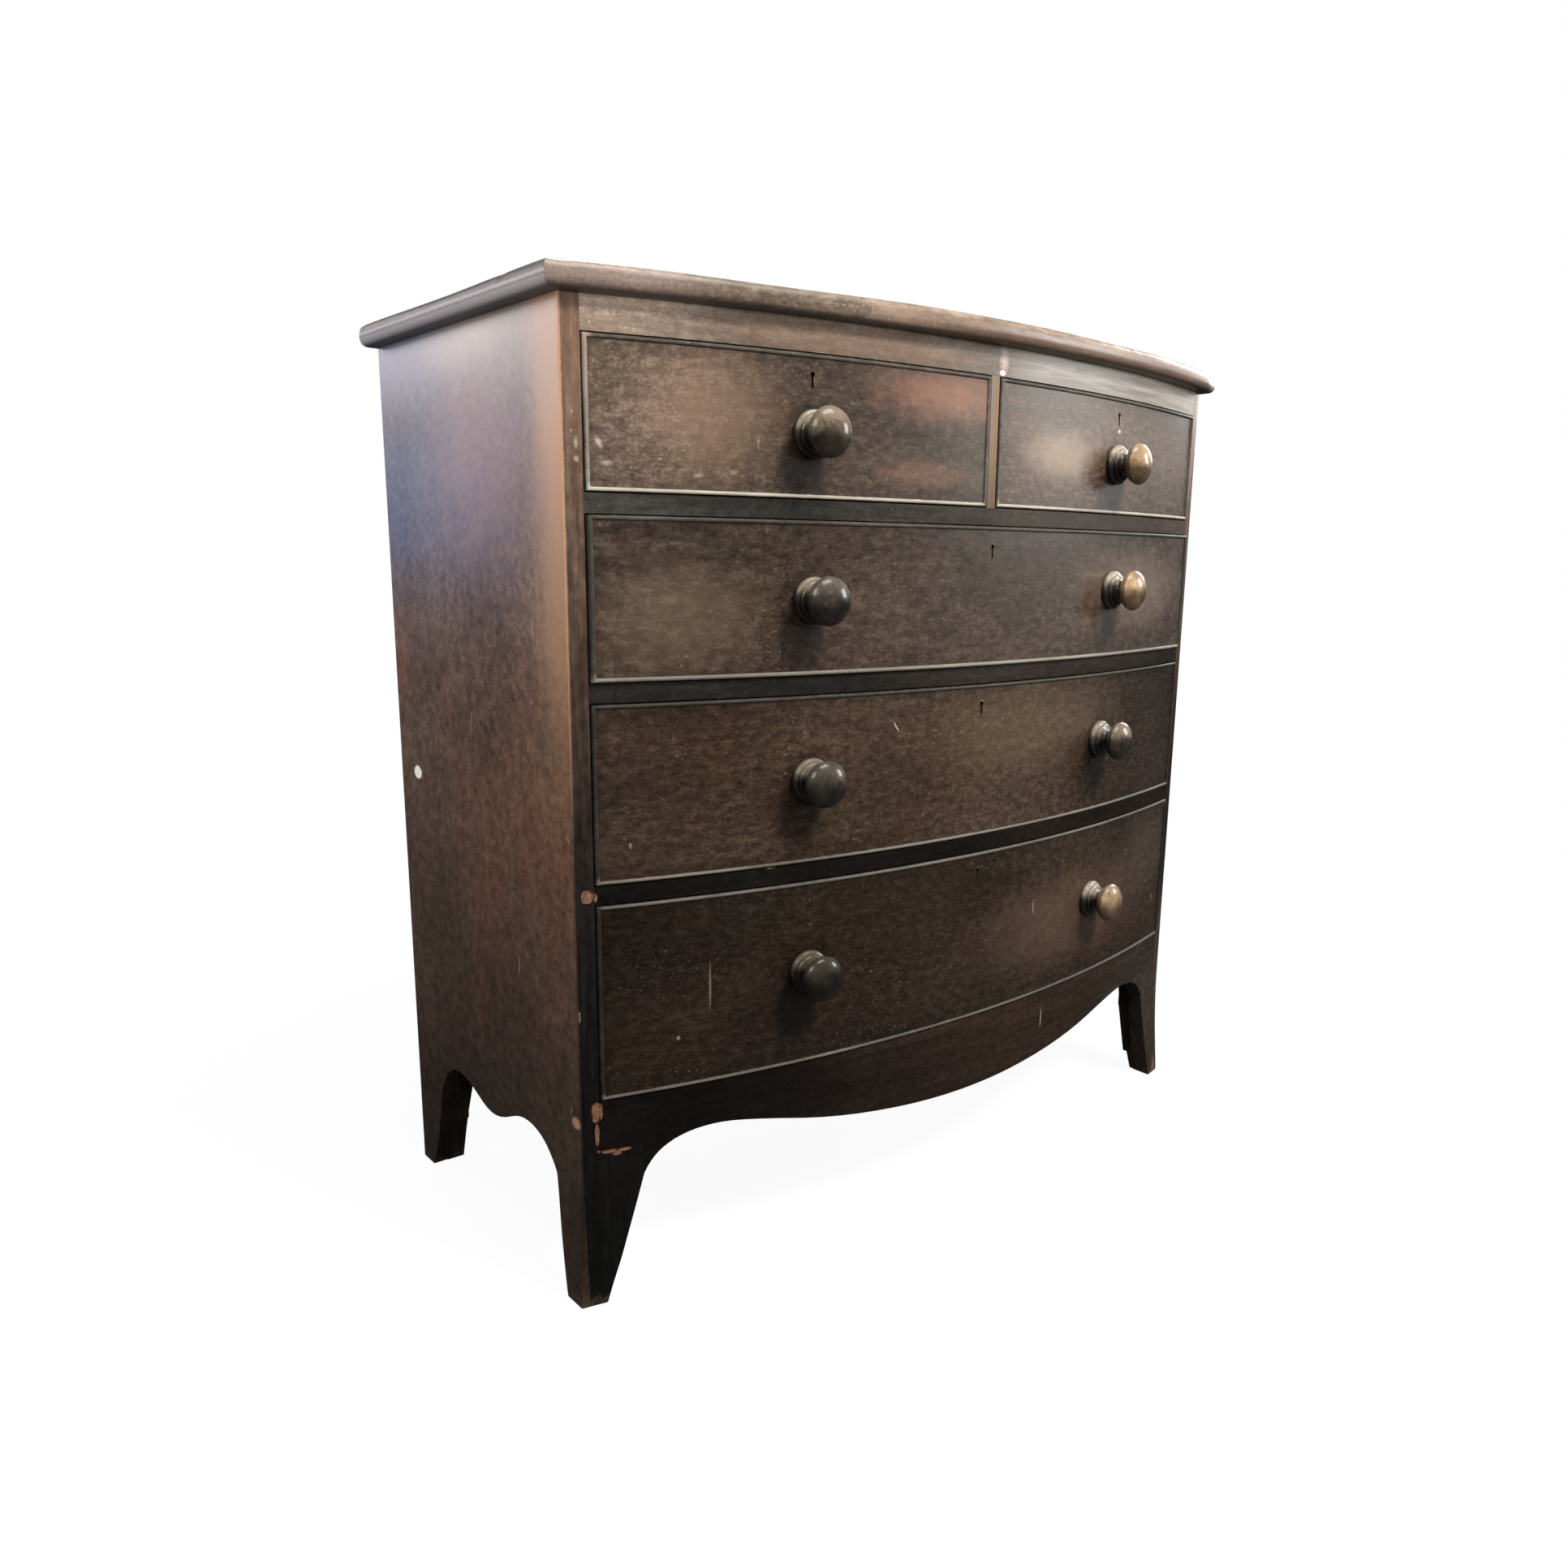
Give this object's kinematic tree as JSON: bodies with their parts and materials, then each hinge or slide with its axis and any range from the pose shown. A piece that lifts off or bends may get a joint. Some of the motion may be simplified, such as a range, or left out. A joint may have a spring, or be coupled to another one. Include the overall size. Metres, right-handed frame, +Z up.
{
  "type": "chest of drawers",
  "caption": "Bow front chest of drawers with short drawers over long ones, turned knobs, cockbeaded fronts, moulded top edge, shaped apron and splayed feet.",
  "frame": {"origin": "on the floor under the middle of the overall width and depth", "axes": "+Z up, the bowed front faces -Y, +X to the right of someone facing the front"},
  "size_m": [1.063, 0.541, 1.054],
  "materials": {
    "case_mahogany": "satin, worn French polish",
    "drawer_mahogany": "satin, worn French polish",
    "cockbead_mahogany": "satin",
    "turned_mahogany": "glossy",
    "drawer_lining": "matt, bare wood",
    "drawer_bottom_pine": "matt, bare wood",
    "carcass_pine": "matt, bare wood",
    "brass": "dull",
    "iron": "dull"
  },
  "bodies": {
    "carcass": {"apron": "case_mahogany", "back_board_nails": "iron", "back_boards": "carcass_pine", "back_foot_brackets": "carcass_pine", "centre_muntin": "case_mahogany", "centre_partition": "carcass_pine", "drawer_rails": "case_mahogany", "drawer_stops": "carcass_pine", "dust_boards": "carcass_pine", "frieze_rail": "case_mahogany", "front_facings": "case_mahogany", "front_foot_left": "case_mahogany", "front_foot_right": "case_mahogany", "glue_blocks": "carcass_pine", "kicker_strips": "carcass_pine", "side_left": "case_mahogany", "side_right": "case_mahogany", "top_board": "case_mahogany", "top_moulding_front": "drawer_mahogany", "top_moulding_sides": "case_mahogany"},
    "left_drawer": {"left_drawer_back": "drawer_lining", "left_drawer_bottom": "drawer_bottom_pine", "left_drawer_cockbeads": "cockbead_mahogany", "left_drawer_front": "drawer_mahogany", "left_drawer_knob": "turned_mahogany", "left_drawer_lock": "brass", "left_drawer_sides": "drawer_lining"},
    "left_drawer_bolt": {"left_drawer_lock_bolt": "iron"},
    "right_drawer": {"right_drawer_back": "drawer_lining", "right_drawer_bottom": "drawer_bottom_pine", "right_drawer_cockbeads": "cockbead_mahogany", "right_drawer_front": "drawer_mahogany", "right_drawer_knob": "turned_mahogany", "right_drawer_lock": "brass", "right_drawer_sides": "drawer_lining"},
    "right_drawer_bolt": {"right_drawer_lock_bolt": "iron"},
    "upper_drawer": {"upper_drawer_back": "drawer_lining", "upper_drawer_bottom": "drawer_bottom_pine", "upper_drawer_cockbeads": "cockbead_mahogany", "upper_drawer_front": "drawer_mahogany", "upper_drawer_knobs": "turned_mahogany", "upper_drawer_lock": "brass", "upper_drawer_sides": "drawer_lining"},
    "upper_drawer_bolt": {"upper_drawer_lock_bolt": "iron"},
    "middle_drawer": {"middle_drawer_back": "drawer_lining", "middle_drawer_bottom": "drawer_bottom_pine", "middle_drawer_cockbeads": "cockbead_mahogany", "middle_drawer_front": "drawer_mahogany", "middle_drawer_knobs": "turned_mahogany", "middle_drawer_lock": "brass", "middle_drawer_sides": "drawer_lining"},
    "middle_drawer_bolt": {"middle_drawer_lock_bolt": "iron"},
    "lower_drawer": {"lower_drawer_back": "drawer_lining", "lower_drawer_bottom": "drawer_bottom_pine", "lower_drawer_cockbeads": "cockbead_mahogany", "lower_drawer_front": "drawer_mahogany", "lower_drawer_knobs": "turned_mahogany", "lower_drawer_lock": "brass", "lower_drawer_sides": "drawer_lining"},
    "lower_drawer_bolt": {"lower_drawer_lock_bolt": "iron"}
  },
  "joints": [
    {"name": "left_drawer_slide", "type": "slide", "parent": "carcass", "child": "left_drawer", "axis": [0, -1, 0], "range_m": [0, 0.34]},
    {"name": "right_drawer_slide", "type": "slide", "parent": "carcass", "child": "right_drawer", "axis": [0, -1, 0], "range_m": [0, 0.34]},
    {"name": "upper_drawer_slide", "type": "slide", "parent": "carcass", "child": "upper_drawer", "axis": [0, -1, 0], "range_m": [-0.003, 0.337]},
    {"name": "middle_drawer_slide", "type": "slide", "parent": "carcass", "child": "middle_drawer", "axis": [0, -1, 0], "range_m": [0, 0.34]},
    {"name": "lower_drawer_slide", "type": "slide", "parent": "carcass", "child": "lower_drawer", "axis": [0, -1, 0], "range_m": [0, 0.34]},
    {"name": "left_drawer_bolt_slide", "type": "slide", "parent": "left_drawer", "child": "left_drawer_bolt", "axis": [0, 0, 1], "range_m": [0, 0.008]},
    {"name": "right_drawer_bolt_slide", "type": "slide", "parent": "right_drawer", "child": "right_drawer_bolt", "axis": [0, 0, 1], "range_m": [0, 0.008]},
    {"name": "upper_drawer_bolt_slide", "type": "slide", "parent": "upper_drawer", "child": "upper_drawer_bolt", "axis": [0, 0, 1], "range_m": [0, 0.008]},
    {"name": "middle_drawer_bolt_slide", "type": "slide", "parent": "middle_drawer", "child": "middle_drawer_bolt", "axis": [0, 0, 1], "range_m": [0, 0.008]},
    {"name": "lower_drawer_bolt_slide", "type": "slide", "parent": "lower_drawer", "child": "lower_drawer_bolt", "axis": [0, 0, 1], "range_m": [0, 0.008]}
  ]
}
